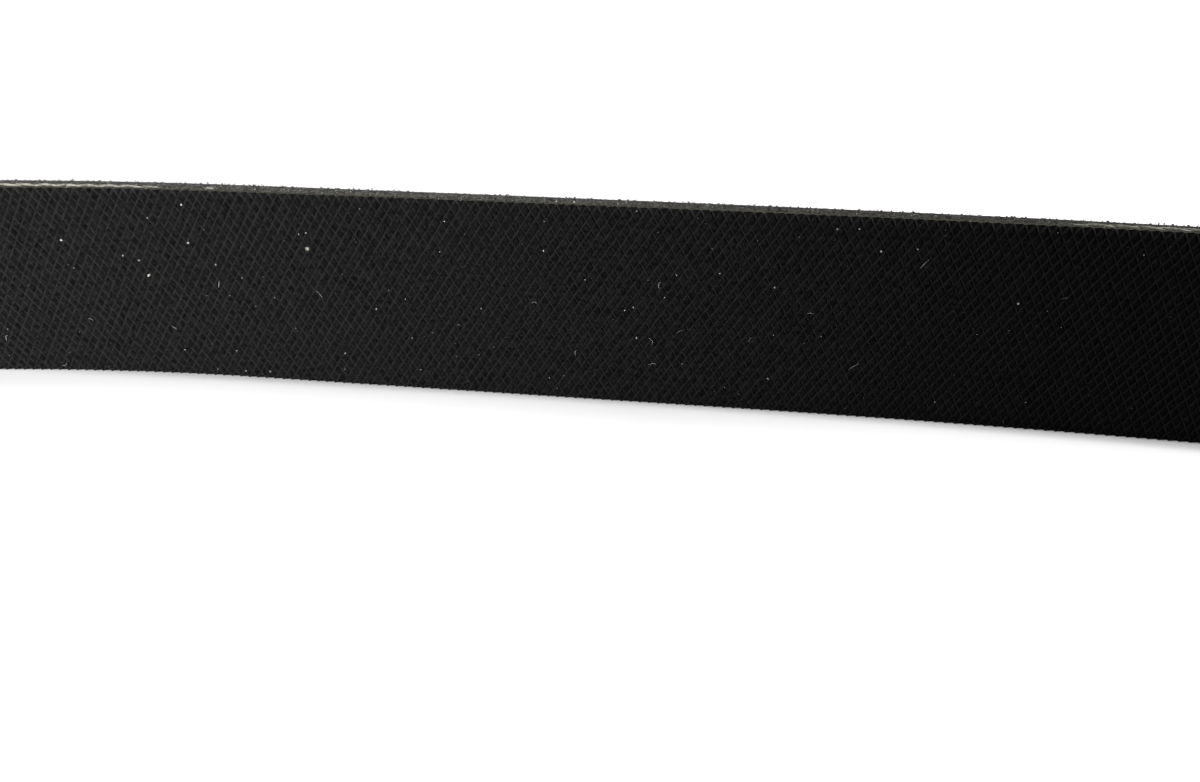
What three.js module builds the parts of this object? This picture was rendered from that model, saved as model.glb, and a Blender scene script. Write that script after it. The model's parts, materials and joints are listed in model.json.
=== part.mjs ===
// Serpentine belt: a car's six-rib drive belt, standing on its cut edge as an endless loop.
// One vulcanised piece, with the ribs on the inside and the flat back on the outside.
// Millimetres, +Z up, X along the loop's length, the origin under the middle of its box.
import * as THREE from 'three';

// Section of the belt, across its width
const RIB_COUNT = 6;
const RIB_PITCH = 3.56;
const RIB_ANGLE = THREE.MathUtils.degToRad(40);
const RIB_DEPTH = 2.4;
const ROOT_RADIUS = 0.4;
const TIP_RADIUS = 0.4;
// From the flat back to the bottom of a groove, which is also the width of each cut edge
const WEB_THICKNESS = 2.1;
// From the flat back to the middle of the tension cords, where the belt's length is measured
const CORD_DEPTH = 0.85;

// The loop as it lies, seen from above and walked counterclockwise
const BELT_LENGTH = 1900;
// The front stretch is pushed in a little: a short bend, a straight run and a long gentle bend
const LEFT_BEND_RADIUS = 220;
const LEFT_BEND_TURN = THREE.MathUtils.degToRad(8);
const MIDDLE_RUN = 50.5;
const RIGHT_BEND_RADIUS = 1080;
const RIGHT_BEND_TURN = THREE.MathUtils.degToRad(4);
const RIGHT_RUN = 60;
// Each end of the loop is a shoulder, a tighter crown and a second shoulder
const SHOULDER_HEADING = THREE.MathUtils.degToRad(50);
const CROWN_SHARE = 0.75;

// The front stretch is twisted: its top leans out on the left and in on the right.
// The places are distances along the back from the start of the middle run.
const LEANS = [
  { most: THREE.MathUtils.degToRad(6), place: -70, reach: 120 },
  { most: THREE.MathUtils.degToRad(-1.8), place: 115, reach: 90 },
];

// How finely the curves are stepped
const CHORD_ERROR = 0.15;
const LONGEST_STEP = 30;
const ROOT_STEPS = 2;
const TIP_STEPS = 1;

const BELT_WIDTH = RIB_COUNT * RIB_PITCH;
const BELT_THICKNESS = WEB_THICKNESS + RIB_DEPTH;
const BACK_LENGTH = BELT_LENGTH + 2 * Math.PI * CORD_DEPTH;

// Points of an arc in the section, where x is the depth behind the back and y is the height
function sectionArc(depth, height, radius, startAngle, endAngle, steps) {
  const points = [];
  for (let i = 0; i <= steps; i += 1) {
    const angle = THREE.MathUtils.lerp(startAngle, endAngle, i / steps);
    points.push(new THREE.Vector2(
      depth + radius * Math.cos(angle),
      height + radius * Math.sin(angle),
    ));
  }
  return points;
}

// The bottom of a groove: flank angles are measured from the depth axis
function grooveRoot(height, startAngle, endAngle, steps) {
  return sectionArc(WEB_THICKNESS + ROOT_RADIUS, height, ROOT_RADIUS, startAngle, endAngle, steps);
}

// A rib's tip: a flat with a rounded corner on each side
function ribTip(height) {
  const flank = RIB_ANGLE / 2;
  const cornerTurn = Math.PI / 2 - flank;
  const flankDepth = RIB_DEPTH - ROOT_RADIUS * (1 - Math.sin(flank));
  const halfGroove = ROOT_RADIUS * Math.cos(flank) + flankDepth * Math.tan(flank);
  const halfFlat = RIB_PITCH / 2 - halfGroove - TIP_RADIUS * Math.tan(cornerTurn / 2);
  const depth = BELT_THICKNESS - TIP_RADIUS;
  return [
    ...sectionArc(depth, height - halfFlat, TIP_RADIUS, -cornerTurn, 0, TIP_STEPS),
    ...sectionArc(depth, height + halfFlat, TIP_RADIUS, 0, cornerTurn, TIP_STEPS),
  ];
}

// The whole section, counterclockwise from the lower corner of the back
function beltSection() {
  const rootStart = Math.PI * 1.5 - RIB_ANGLE / 2;
  const rootEnd = Math.PI / 2 + RIB_ANGLE / 2;
  const points = [new THREE.Vector2(0, 0), ...grooveRoot(0, Math.PI, rootEnd, 1)];
  for (let rib = 0; rib < RIB_COUNT; rib += 1) {
    if (rib > 0) {
      points.push(...grooveRoot(rib * RIB_PITCH, rootStart, rootEnd, ROOT_STEPS));
    }
    points.push(...ribTip((rib + 0.5) * RIB_PITCH));
  }
  points.push(...grooveRoot(BELT_WIDTH, rootStart, Math.PI, 1));
  points.push(new THREE.Vector2(0, BELT_WIDTH));
  return points;
}

// Stretches of the loop: a straight run, and a bend that turns left when its turn is positive
const run = (length) => ({ length, turn: 0 });
const bend = (radius, turn) => ({ length: radius * Math.abs(turn), turn });

// The three bends of one end of the loop, for a given shoulder radius
function loopEnd(radius, turnBefore, turnAfter) {
  return [
    bend(radius, SHOULDER_HEADING + turnBefore),
    bend(radius * CROWN_SHARE, Math.PI - 2 * SHOULDER_HEADING),
    bend(radius, SHOULDER_HEADING + turnAfter),
  ];
}

// Straight distance from the start of a stretch to a point part of the way along it
function chord(length, turn) {
  return turn === 0 ? length : length * Math.sin(turn / 2) / (turn / 2);
}

// How far a row of stretches goes in x and y, with its length as z
function travel(stretches, startHeading) {
  const total = new THREE.Vector3();
  let heading = startHeading;
  for (const { length, turn } of stretches) {
    const reach = chord(length, turn);
    const direction = heading + turn / 2;
    total.add(new THREE.Vector3(reach * Math.cos(direction), reach * Math.sin(direction), length));
    heading += turn;
  }
  return total;
}

// All stretches in order. The shoulders' radius, the left run and the back run
// are what closes the loop at the belt's length.
function loopStretches() {
  const rightSide = [
    run(MIDDLE_RUN),
    bend(RIGHT_BEND_RADIUS, -RIGHT_BEND_TURN),
    run(RIGHT_RUN),
  ];
  const leftBend = bend(LEFT_BEND_RADIUS, -LEFT_BEND_TURN);
  const ends = travel(loopEnd(1, RIGHT_BEND_TURN, 0), -RIGHT_BEND_TURN)
    .add(travel(loopEnd(1, 0, LEFT_BEND_TURN), Math.PI));
  const leftRun = travel([run(1)], LEFT_BEND_TURN);
  const backRun = travel([run(1)], Math.PI);
  const missing = new THREE.Vector3(0, 0, BACK_LENGTH)
    .sub(travel(rightSide, 0))
    .sub(travel([leftBend], LEFT_BEND_TURN));
  const closing = new THREE.Matrix3().set(
    ends.x, leftRun.x, backRun.x,
    ends.y, leftRun.y, backRun.y,
    ends.z, leftRun.z, backRun.z,
  ).invert();
  const found = missing.applyMatrix3(closing);
  return [
    ...rightSide,
    ...loopEnd(found.x, RIGHT_BEND_TURN, 0),
    run(found.z),
    ...loopEnd(found.x, 0, LEFT_BEND_TURN),
    run(found.y),
    leftBend,
  ];
}

// Lean of the top away from the loop's inside, at a distance along the back
function leanAt(distance) {
  let lean = 0;
  for (const { most, place, reach } of LEANS) {
    const around = THREE.MathUtils.euclideanModulo(distance - place, BACK_LENGTH);
    const away = Math.min(around, BACK_LENGTH - around) / reach;
    lean += away < 1 ? most * (1 + Math.cos(Math.PI * away)) / 2 : 0;
  }
  return lean;
}

// Places along the lower edge of the back, each with its heading and lean
function stations() {
  const places = [];
  const start = new THREE.Vector2();
  let heading = 0;
  let distance = 0;
  for (const { length, turn } of loopStretches()) {
    const bendSteps = Math.sqrt(length * Math.abs(turn) / (8 * CHORD_ERROR));
    const steps = Math.ceil(Math.max(bendSteps, length / LONGEST_STEP));
    for (let i = 0; i < steps; i += 1) {
      const partTurn = turn * i / steps;
      const partLength = length * i / steps;
      const reach = chord(partLength, partTurn);
      places.push({
        x: start.x + reach * Math.cos(heading + partTurn / 2),
        y: start.y + reach * Math.sin(heading + partTurn / 2),
        heading: heading + partTurn,
        lean: leanAt(distance + partLength),
      });
    }
    start.x += chord(length, turn) * Math.cos(heading + turn / 2);
    start.y += chord(length, turn) * Math.sin(heading + turn / 2);
    heading += turn;
    distance += length;
  }
  return places;
}

// The section stood up at a station, leaned and set down so that its lowest point touches z = 0
function standSection(section, { x, y, heading, lean }) {
  const leaned = section.map((point) => ({
    out: point.y * Math.sin(lean) - point.x * Math.cos(lean),
    up: point.y * Math.cos(lean) + point.x * Math.sin(lean),
  }));
  const lowest = Math.min(...leaned.map((point) => point.up));
  return leaned.map(({ out, up }) => new THREE.Vector3(
    x + out * Math.sin(heading),
    y - out * Math.cos(heading),
    up - lowest,
  ));
}

// The closed tube of sections around the loop
function beltGeometry() {
  const section = beltSection();
  const rings = stations().map((station) => standSection(section, station));
  const faces = [];
  for (let ring = 0; ring < rings.length; ring += 1) {
    const next = (ring + 1) % rings.length;
    for (let side = 0; side < section.length; side += 1) {
      const after = (side + 1) % section.length;
      const near = [ring * section.length + side, ring * section.length + after];
      const far = [next * section.length + side, next * section.length + after];
      faces.push(near[0], far[1], far[0], near[0], near[1], far[1]);
    }
  }
  const geometry = new THREE.BufferGeometry().setFromPoints(rings.flat());
  geometry.setIndex(faces);
  geometry.computeVertexNormals();
  geometry.computeBoundingBox();
  const middle = geometry.boundingBox.getCenter(new THREE.Vector3());
  geometry.translate(-middle.x, -middle.y, -geometry.boundingBox.min.z);
  return geometry;
}

const rubber = new THREE.MeshStandardMaterial({
  color: 0x1b1b1c,
  roughness: 0.8,
  metalness: 0,
  flatShading: true,
});

const belt = new THREE.Mesh(beltGeometry(), rubber);
belt.name = 'belt';

const model = new THREE.Group();
model.add(belt);

export default model;
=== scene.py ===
# %% [markdown]
# # A serpentine belt, standing on its cut edge
# This lesson dresses a drive belt that was built as one plain solid. The solid already has the right size and
# lies where it should. Here it gets what the eye sees from close by: the diamond pattern moulded into its back,
# the cord and the thin back layer that show in the cut edge, the torn fibres along that edge, and the dust.
# Everything is in metres, in the same frame as the solid, so each piece is made where it belongs.

# %% Load the plain belt
import math

import bmesh
import bpy
from mathutils import Matrix, Vector
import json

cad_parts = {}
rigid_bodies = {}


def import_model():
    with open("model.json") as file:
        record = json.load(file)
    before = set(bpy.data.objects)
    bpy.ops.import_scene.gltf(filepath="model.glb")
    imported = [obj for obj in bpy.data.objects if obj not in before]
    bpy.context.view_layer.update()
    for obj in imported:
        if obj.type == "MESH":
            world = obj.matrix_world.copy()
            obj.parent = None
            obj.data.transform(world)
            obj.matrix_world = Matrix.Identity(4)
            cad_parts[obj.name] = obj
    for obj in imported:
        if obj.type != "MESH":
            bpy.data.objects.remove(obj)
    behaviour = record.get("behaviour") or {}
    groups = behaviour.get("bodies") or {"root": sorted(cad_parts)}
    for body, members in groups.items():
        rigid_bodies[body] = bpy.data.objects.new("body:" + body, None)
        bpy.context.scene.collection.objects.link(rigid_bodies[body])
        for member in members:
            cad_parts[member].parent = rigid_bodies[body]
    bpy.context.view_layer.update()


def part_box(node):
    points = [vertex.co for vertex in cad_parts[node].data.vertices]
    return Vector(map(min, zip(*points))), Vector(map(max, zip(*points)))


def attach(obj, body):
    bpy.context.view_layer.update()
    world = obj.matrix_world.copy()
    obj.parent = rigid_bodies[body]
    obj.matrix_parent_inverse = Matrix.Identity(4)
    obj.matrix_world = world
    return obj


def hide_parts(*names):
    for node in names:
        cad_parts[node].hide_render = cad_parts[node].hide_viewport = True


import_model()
belt_low, belt_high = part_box("belt")
MM = 0.001
print("plain belt in mm:", [round(side / MM, 2) for side in belt_high - belt_low])


def into_scene(name, data):
    """A new object in the scene, at the origin."""
    thing = bpy.data.objects.new(name, data)
    bpy.context.scene.collection.objects.link(thing)
    return thing


# %% [markdown]
# ## The section
# A serpentine belt has a flat back, a web with the tension cords in it, and V-shaped ribs that run in the
# pulleys' grooves. The sizes are those of the plain solid. Depth is counted from the back inwards, and height
# from the lower cut edge upwards.

# %% Sizes of the section
RIB_COUNT = 6
RIB_PITCH = 3.56 * MM
RIB_ANGLE = math.radians(40)
RIB_DEPTH = 2.4 * MM
ROOT_RADIUS = 0.4 * MM
TIP_RADIUS = 0.4 * MM
WEB_THICKNESS = 2.1 * MM
CORD_DEPTH = 0.85 * MM
BACK_LAYER = 0.45 * MM
BELT_WIDTH = RIB_COUNT * RIB_PITCH
BELT_THICKNESS = WEB_THICKNESS + RIB_DEPTH
print("width and thickness in mm:", round(BELT_WIDTH / MM, 2), round(BELT_THICKNESS / MM, 2))

# %% [markdown]
# ## The path of the loop
# The belt is limp, so the loop lies as an oval whose front is pushed in a little. The path is made of straight
# runs and bends, walked counterclockwise from above with the back on the outside. Three sizes are not free: the
# radius of the loop's shoulders, the run on the left and the run at the back. They are what closes the loop at
# the belt's length, so three equations give them.

# %% Sizes of the loop
BELT_LENGTH = 1900 * MM
LEFT_BEND_RADIUS = 220 * MM
LEFT_BEND_TURN = math.radians(8)
MIDDLE_RUN = 50.5 * MM
RIGHT_BEND_RADIUS = 1080 * MM
RIGHT_BEND_TURN = math.radians(4)
RIGHT_RUN = 60 * MM
SHOULDER_HEADING = math.radians(50)
CROWN_SHARE = 0.75
BACK_LENGTH = BELT_LENGTH + 2 * math.pi * CORD_DEPTH


def run(length):
    return length, 0.0


def bend(radius, turn):
    return radius * abs(turn), turn


def loop_end(radius, turn_before, turn_after):
    return [
        bend(radius, SHOULDER_HEADING + turn_before),
        bend(radius * CROWN_SHARE, math.pi - 2 * SHOULDER_HEADING),
        bend(radius, SHOULDER_HEADING + turn_after),
    ]


def chord(length, turn):
    return length if turn == 0 else length * math.sin(turn / 2) / (turn / 2)


def travel(stretches, heading):
    total = Vector((0, 0, 0))
    for length, turn in stretches:
        direction = heading + turn / 2
        reach = chord(length, turn)
        total += Vector((reach * math.cos(direction), reach * math.sin(direction), length))
        heading += turn
    return total


# %% Close the loop
right_side = [run(MIDDLE_RUN), bend(RIGHT_BEND_RADIUS, -RIGHT_BEND_TURN), run(RIGHT_RUN)]
left_bend = bend(LEFT_BEND_RADIUS, -LEFT_BEND_TURN)
ends = travel(loop_end(1, RIGHT_BEND_TURN, 0), -RIGHT_BEND_TURN)
ends += travel(loop_end(1, 0, LEFT_BEND_TURN), math.pi)
left_way = travel([run(1)], LEFT_BEND_TURN)
back_way = travel([run(1)], math.pi)
missing = Vector((0, 0, BACK_LENGTH)) - travel(right_side, 0) - travel([left_bend], LEFT_BEND_TURN)
closing = Matrix((ends, left_way, back_way)).transposed().inverted()
shoulder_radius, left_run, back_run = closing @ missing
stretches = [
    *right_side,
    *loop_end(shoulder_radius, RIGHT_BEND_TURN, 0),
    run(back_run),
    *loop_end(shoulder_radius, 0, LEFT_BEND_TURN),
    run(left_run),
    left_bend,
]
print("shoulder radius, left run, back run in mm:", [round(v / MM, 1) for v in closing @ missing])

# %% [markdown]
# ## The lean
# The front stretch is slightly twisted: its top leans out on the left and in on the right. Each lean swells and
# fades as a cosine, and turns the section about the lower corner of its back.

# %% Walk the path
LEANS = [
    {"most": math.radians(6), "place": -70 * MM, "reach": 120 * MM},
    {"most": math.radians(-1.8), "place": 115 * MM, "reach": 90 * MM},
]
PATH_STEP = 1 * MM


def lean_at(distance):
    lean = 0.0
    for one in LEANS:
        around = (distance - one["place"]) % BACK_LENGTH
        away = min(around, BACK_LENGTH - around) / one["reach"]
        if away < 1:
            lean += one["most"] * (1 + math.cos(math.pi * away)) / 2
    return lean


def walk_path():
    places = []
    start, heading, distance = Vector((0, 0)), 0.0, 0.0
    for length, turn in stretches:
        steps = math.ceil(length / PATH_STEP)
        for i in range(steps):
            part = i / steps
            reach = chord(length * part, turn * part)
            direction = heading + turn * part / 2
            place = start + reach * Vector((math.cos(direction), math.sin(direction)))
            places.append((place, heading + turn * part, lean_at(distance + length * part)))
        direction = heading + turn / 2
        start = start + chord(length, turn) * Vector((math.cos(direction), math.sin(direction)))
        heading += turn
        distance += length
    return places


def out_of(heading):
    return Vector((math.sin(heading), -math.cos(heading)))


walked = walk_path()
rim = [place for place, _, _ in walked]
rim += [place + BELT_WIDTH * math.sin(lean) * out_of(heading) for place, heading, lean in walked]
rim_low = Vector((min(p.x for p in rim), min(p.y for p in rim)))
rim_high = Vector((max(p.x for p in rim), max(p.y for p in rim)))
to_frame = (belt_low.xy + belt_high.xy) / 2 - (rim_low + rim_high) / 2
print("path box against the solid's in mm:", [round(v / MM, 2) for v in (rim_high - rim_low)])

# %% [markdown]
# ## The path as a curve
# Every piece follows this path, so it is made once, as a curve. A curve's points carry a tilt, and here the tilt
# holds the lean. The points stand at the lower corner of the belt's back. Where the top leans in, the inner corner
# of the cut edge would dip through the floor, so those points are lifted.

# %% Make the path curve
def make_path():
    data = bpy.data.curves.new("belt_path", "CURVE")
    data.dimensions = "3D"
    line = data.splines.new("POLY")
    line.points.add(len(walked) - 1)
    for point, (place, _, lean) in zip(line.points, walked):
        lift = max(0.0, -WEB_THICKNESS * math.sin(lean))
        point.co = (*(place + to_frame), lift, 1)
        point.tilt = lean
    line.use_cyclic_u = True
    return into_scene("belt_path", data)


belt_path = make_path()
print("path points:", len(belt_path.data.splines[0].points))

# %% [markdown]
# ## Helpers for node trees
# Geometry Nodes and materials are both trees of nodes. These helpers add a node and wire it in one call, so that
# each tree below reads from top to bottom. A value that is itself a socket is linked, and any other is set.

# %% Node helpers
def add(tree, kind, inputs=None, **settings):
    node = tree.nodes.new(kind)
    for name, value in settings.items():
        setattr(node, name, value)
    for name, value in (inputs or {}).items():
        if isinstance(value, bpy.types.NodeSocket):
            tree.links.new(value, node.inputs[name])
        else:
            node.inputs[name].default_value = value
    return node


def maths(tree, operation, *values):
    return add(tree, "ShaderNodeMath", dict(enumerate(values)), operation=operation).outputs["Value"]


def vectors(tree, operation, *values):
    node = add(tree, "ShaderNodeVectorMath", dict(enumerate(values)), operation=operation)
    return node.outputs["Value" if operation in ("DOT_PRODUCT", "DISTANCE") else "Vector"]


def xyz(tree, x=0.0, y=0.0, z=0.0):
    return add(tree, "ShaderNodeCombineXYZ", {"X": x, "Y": y, "Z": z}).outputs["Vector"]


def parts_of(tree, vector):
    node = add(tree, "ShaderNodeSeparateXYZ", {"Vector": vector})
    return node.outputs["X"], node.outputs["Y"], node.outputs["Z"]


def geometry_tree(name, **sockets):
    tree = bpy.data.node_groups.new(name, "GeometryNodeTree")
    for socket, kind in sockets.items():
        tree.interface.new_socket(name=socket, in_out="INPUT", socket_type=f"NodeSocket{kind}")
    tree.interface.new_socket(name="Geometry", in_out="OUTPUT", socket_type="NodeSocketGeometry")
    return tree, tree.nodes.new("NodeGroupInput").outputs, tree.nodes.new("NodeGroupOutput").inputs


def grow(name, tree, **values):
    """Runs a tree on an empty mesh and keeps the result as a plain mesh object at the origin."""
    carrier = into_scene(name + "_carrier", bpy.data.meshes.new(name))
    modifier = carrier.modifiers.new("grow", "NODES")
    modifier.node_group = tree
    for item in tree.interface.items_tree:
        if item.in_out == "INPUT" and item.name in values:
            modifier[item.identifier] = values[item.name]
    bpy.context.view_layer.update()
    mesh = bpy.data.meshes.new_from_object(carrier.evaluated_get(bpy.context.evaluated_depsgraph_get()))
    bpy.data.objects.remove(carrier)
    mesh.name = name
    piece = into_scene(name, mesh)
    mesh.calc_loop_triangles()
    print(name, "triangles:", len(mesh.loop_triangles))
    return piece


# %% [markdown]
# ## Bending onto the path
# It is far easier to model the belt flat: x along it, y into it and z across it. This group then bends anything
# flat onto the path. Sample Curve gives the place, the direction and the lean at each distance, and the point is
# moved outwards and up from there. All pieces go through the same group, so they meet exactly.

# %% The bending group
def make_bending():
    tree, given, result = geometry_tree("bend_onto_path", Flat="Geometry", Path="Object", Length="Float")
    path = add(tree, "GeometryNodeObjectInfo", {"Object": given["Path"]}).outputs["Geometry"]
    x, y, z = parts_of(tree, add(tree, "GeometryNodeInputPosition").outputs["Position"])
    along = maths(tree, "FLOORED_MODULO", x, given["Length"])
    sample = add(
        tree,
        "GeometryNodeSampleCurve",
        {"Curves": path, "Length": along, "Value": add(tree, "GeometryNodeInputCurveTilt").outputs["Tilt"]},
        mode="LENGTH",
        use_all_curves=True,
        data_type="FLOAT",
    )
    lean = sample.outputs["Value"]
    sine, cosine = maths(tree, "SINE", lean), maths(tree, "COSINE", lean)
    out = maths(tree, "SUBTRACT", maths(tree, "MULTIPLY", z, sine), maths(tree, "MULTIPLY", y, cosine))
    up = maths(tree, "ADD", maths(tree, "MULTIPLY", z, cosine), maths(tree, "MULTIPLY", y, sine))
    outward = vectors(tree, "CROSS_PRODUCT", sample.outputs["Tangent"], (0, 0, 1))
    outward = vectors(tree, "NORMALIZE", outward)
    scaled = add(tree, "ShaderNodeVectorMath", {0: outward, "Scale": out}, operation="SCALE")
    moved = vectors(tree, "ADD", vectors(tree, "ADD", sample.outputs["Position"], scaled.outputs[0]),
                    xyz(tree, z=up))
    bent = add(tree, "GeometryNodeSetPosition", {"Geometry": given["Flat"], "Position": moved})
    tree.links.new(bent.outputs["Geometry"], result["Geometry"])
    return tree


bending = make_bending()


def bend_in(tree, flat, path, length):
    node = add(tree, "GeometryNodeGroup", node_tree=bending)
    tree.links.new(flat, node.inputs["Flat"])
    tree.links.new(path, node.inputs["Path"])
    tree.links.new(length, node.inputs["Length"])
    return node.outputs["Geometry"]


# %% [markdown]
# ## Finishes
# A worn back, a sanded cut edge, the thin layer beside the cord, fibre-filled ribs, cord yarn, torn fibres, dust
# and lint are eight different surfaces. Several of them share a fine grain or sparse bright specks, so each of
# these is a node group. A group gives out only values, and the Principled shader stays in the material.

# %% Shared effects
def shader_group(name, inputs, outputs):
    tree = bpy.data.node_groups.new(name, "ShaderNodeTree")
    for socket, (kind, value) in inputs.items():
        made = tree.interface.new_socket(name=socket, in_out="INPUT", socket_type=f"NodeSocket{kind}")
        made.default_value = value
    for socket, kind in outputs.items():
        tree.interface.new_socket(name=socket, in_out="OUTPUT", socket_type=f"NodeSocket{kind}")
    return tree, tree.nodes.new("NodeGroupInput").outputs, tree.nodes.new("NodeGroupOutput").inputs


def blend_colours(tree, share, first, second):
    node = add(tree, "ShaderNodeMix", data_type="RGBA")
    for place, value in ((0, share), (6, first), (7, second)):
        if isinstance(value, bpy.types.NodeSocket):
            tree.links.new(value, node.inputs[place])
        else:
            node.inputs[place].default_value = value
    return node.outputs[2]


def ramp(tree, value, low, high, from_value=0.0, to_value=1.0):
    node = add(tree, "ShaderNodeMapRange", {"Value": value, "From Min": low, "From Max": high,
                                            "To Min": from_value, "To Max": to_value})
    return node.outputs["Result"]


def make_grain():
    """Fine rubber grain: a height for bump, and a slow mottling for colour and roughness."""
    tree, given, result = shader_group(
        "rubber_grain",
        {"Place": ("Vector", (0, 0, 0)), "Grain Size": ("Float", 0.12 * MM), "Mottle Size": ("Float", 6 * MM)},
        {"Grain": "Float", "Mottle": "Float"},
    )
    fine = maths(tree, "DIVIDE", 1.0, given["Grain Size"])
    grain = add(tree, "ShaderNodeTexNoise", {"Vector": given["Place"], "Scale": fine, "Detail": 3.0,
                                             "Roughness": 0.6})
    slow = maths(tree, "DIVIDE", 1.0, given["Mottle Size"])
    mottle = add(tree, "ShaderNodeTexNoise", {"Vector": given["Place"], "Scale": slow, "Detail": 4.0})
    tree.links.new(grain.outputs["Fac"], result["Grain"])
    tree.links.new(ramp(tree, mottle.outputs["Fac"], 0.3, 0.7), result["Mottle"])
    return tree


def make_specks():
    """Grains in cells: a mask of sparse bright ones, such as fibre ends, and a tone for each cell."""
    tree, given, result = shader_group(
        "specks",
        {"Place": ("Vector", (0, 0, 0)), "Size": ("Float", 0.25 * MM), "Share": ("Float", 0.2)},
        {"Mask": "Float", "Tone": "Float"},
    )
    scale = maths(tree, "DIVIDE", 1.0, given["Size"])
    cells = add(tree, "ShaderNodeTexVoronoi", {"Vector": given["Place"], "Scale": scale})
    chance = add(tree, "ShaderNodeSeparateColor", {"Color": cells.outputs["Color"]}).outputs["Red"]
    chosen = maths(tree, "LESS_THAN", chance, given["Share"])
    near = ramp(tree, cells.outputs["Distance"], 0.35, 0.15)
    tree.links.new(maths(tree, "MULTIPLY", chosen, near), result["Mask"])
    tree.links.new(chance, result["Tone"])
    return tree


grain_group = make_grain()
speck_group = make_specks()
print("shared effects:", [g.name for g in (grain_group, speck_group)])


# %% Material helpers
def grey(value, warmth=0.0):
    return value * (1 + warmth), value, value * (1 - warmth), 1


def new_material(name, shine, roughness):
    material = bpy.data.materials.new(name)
    material.use_nodes = True
    tree = material.node_tree
    shader = tree.nodes["Principled BSDF"]
    shader.inputs["Specular IOR Level"].default_value = shine
    shader.inputs["Roughness"].default_value = roughness
    place = add(tree, "ShaderNodeTexCoord").outputs["Object"]
    return material, tree, shader, place


def use_group(tree, group, place, **values):
    node = add(tree, "ShaderNodeGroup", node_tree=group)
    tree.links.new(place, node.inputs["Place"])
    for name, value in values.items():
        node.inputs[name.replace("_", " ").title()].default_value = value
    return node.outputs


def bump(tree, shader, height, distance):
    node = add(tree, "ShaderNodeBump", {"Height": height, "Distance": distance, "Strength": 1.0})
    tree.links.new(node.outputs["Normal"], shader.inputs["Normal"])


def attribute(tree, name, output="Fac"):
    return add(tree, "ShaderNodeAttribute", attribute_name=name).outputs[output]


# %% [markdown]
# ### The back's rubber
# The back is matt black. Idler pulleys run on it and rub its net of ridges to a dark grey, in patches, while the
# pits stay black, and the ridges' grey is partly this wear and partly a painted highlight. Two attributes on the
# mesh bring the real shape into the material, so no picture of it is needed. One is the depth, from 0 on a ridge
# to 1 on a pit's floor. The other is the normal that each face had while the belt was flat: it tells the rising
# ridges, which get a wider painted highlight, from the falling ones, and it finds the walls that face down and to
# the left, which get painted shade.

# %% Back rubber
# Ridge tone: partly rubbed rubber, partly a painted highlight
RUBBED_AND_HIGHLIGHT_TONE = 0.0148
MOULDED_DARK, MOULDED_LIGHT = 0.0014, 0.0078
# Painted shade: the tone of the pit walls that face down and to the left
WALL_SHADE_TONE = 0.0005
PATCH_SIZE = 0.38 * MM
LEAST_WEAR, MOST_WEAR = 0.35, 1.15


def make_back_rubber():
    material, tree, shader, place = new_material("back_rubber", shine=0.02, roughness=0.62)
    grain = use_group(tree, grain_group, place)
    pit = attribute(tree, "pit")
    along, _, across = parts_of(tree, attribute(tree, "flat_normal", "Vector"))
    rising = ramp(tree, maths(tree, "MULTIPLY", along, across), 0.05, -0.05)
    # The pit walls that face down and to the left, which get painted shade
    shaded_walls = ramp(tree, maths(tree, "ADD", along, across), -0.5, -0.9)
    # Painted highlight: the rising ridges get a wider band of the ridge tone than the falling ones
    wide = maths(tree, "MULTIPLY", rising, ramp(tree, pit, 0.72, 0.36))
    narrow = maths(tree, "MULTIPLY", maths(tree, "SUBTRACT", 1.0, rising), ramp(tree, pit, 0.65, 0.25))
    patches = use_group(tree, grain_group, place, grain_size=PATCH_SIZE)["Grain"]
    wear = ramp(tree, patches, 0.35, 0.65, LEAST_WEAR, MOST_WEAR)
    # Ridge mask in random patches: partly wear, partly painted highlight
    rubbed_and_highlight = maths(tree, "MULTIPLY", maths(tree, "ADD", wide, narrow), wear)
    moulded = blend_colours(tree, ramp(tree, patches, 0.35, 0.65), grey(MOULDED_DARK), grey(MOULDED_LIGHT))
    colour = blend_colours(tree, rubbed_and_highlight, moulded, grey(RUBBED_AND_HIGHLIGHT_TONE))
    # Painted shade on those walls, from just below the ridge down into the pit
    wall_shade = maths(tree, "MULTIPLY", shaded_walls, ramp(tree, pit, 0.2, 0.45, 0.0, 0.95))
    colour = blend_colours(tree, wall_shade, colour, grey(WALL_SHADE_TONE))
    tree.links.new(colour, shader.inputs["Base Color"])
    tree.links.new(ramp(tree, grain["Grain"], 0.3, 0.7, 0.55, 0.72), shader.inputs["Roughness"])
    height = maths(tree, "ADD", maths(tree, "MULTIPLY", grain["Grain"], 0.8), ramp(tree, pit, 0.75, 0.2))
    bump(tree, shader, height, 0.04 * MM)
    return material


back_rubber = make_back_rubber()

# %% [markdown]
# ### The cut edge
# The edge shows the belt's make-up: a thin olive-brown back layer, the cord line, then grey sanded rubber. Streaks
# run along the edge where the knife passed, and sanding tore out grains that are longer across the edge. Both
# follow the belt, so they read a map with the distance along it and the depth, stored on the corners of the
# faces. One stretch, from about the middle of the seen stretch to the right, is darkened as painted shade.

# %% Cut edge rubber
STREAK_WIDTH, STREAK_SHRINK = 0.15 * MM, 0.12
TORN_GRAIN, TORN_SHRINK, TORN_SHARE = 0.19 * MM, 0.5, 0.22
SANDED_DARK, SANDED_LIGHT, TORN_TONE = 0.003, 0.082, 0.34
CORD_LINE_INNER, CORD_LINE_OUTER = 0.26 * MM, 0.42 * MM
# Painted shade: where along the belt the cut edges darken, and by how much
EDGE_SHADE_SWELLS, EDGE_SHADE_FADES, MOST_EDGE_SHADE = (22 * MM, 60 * MM), (110 * MM, 170 * MM), 0.38


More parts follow.
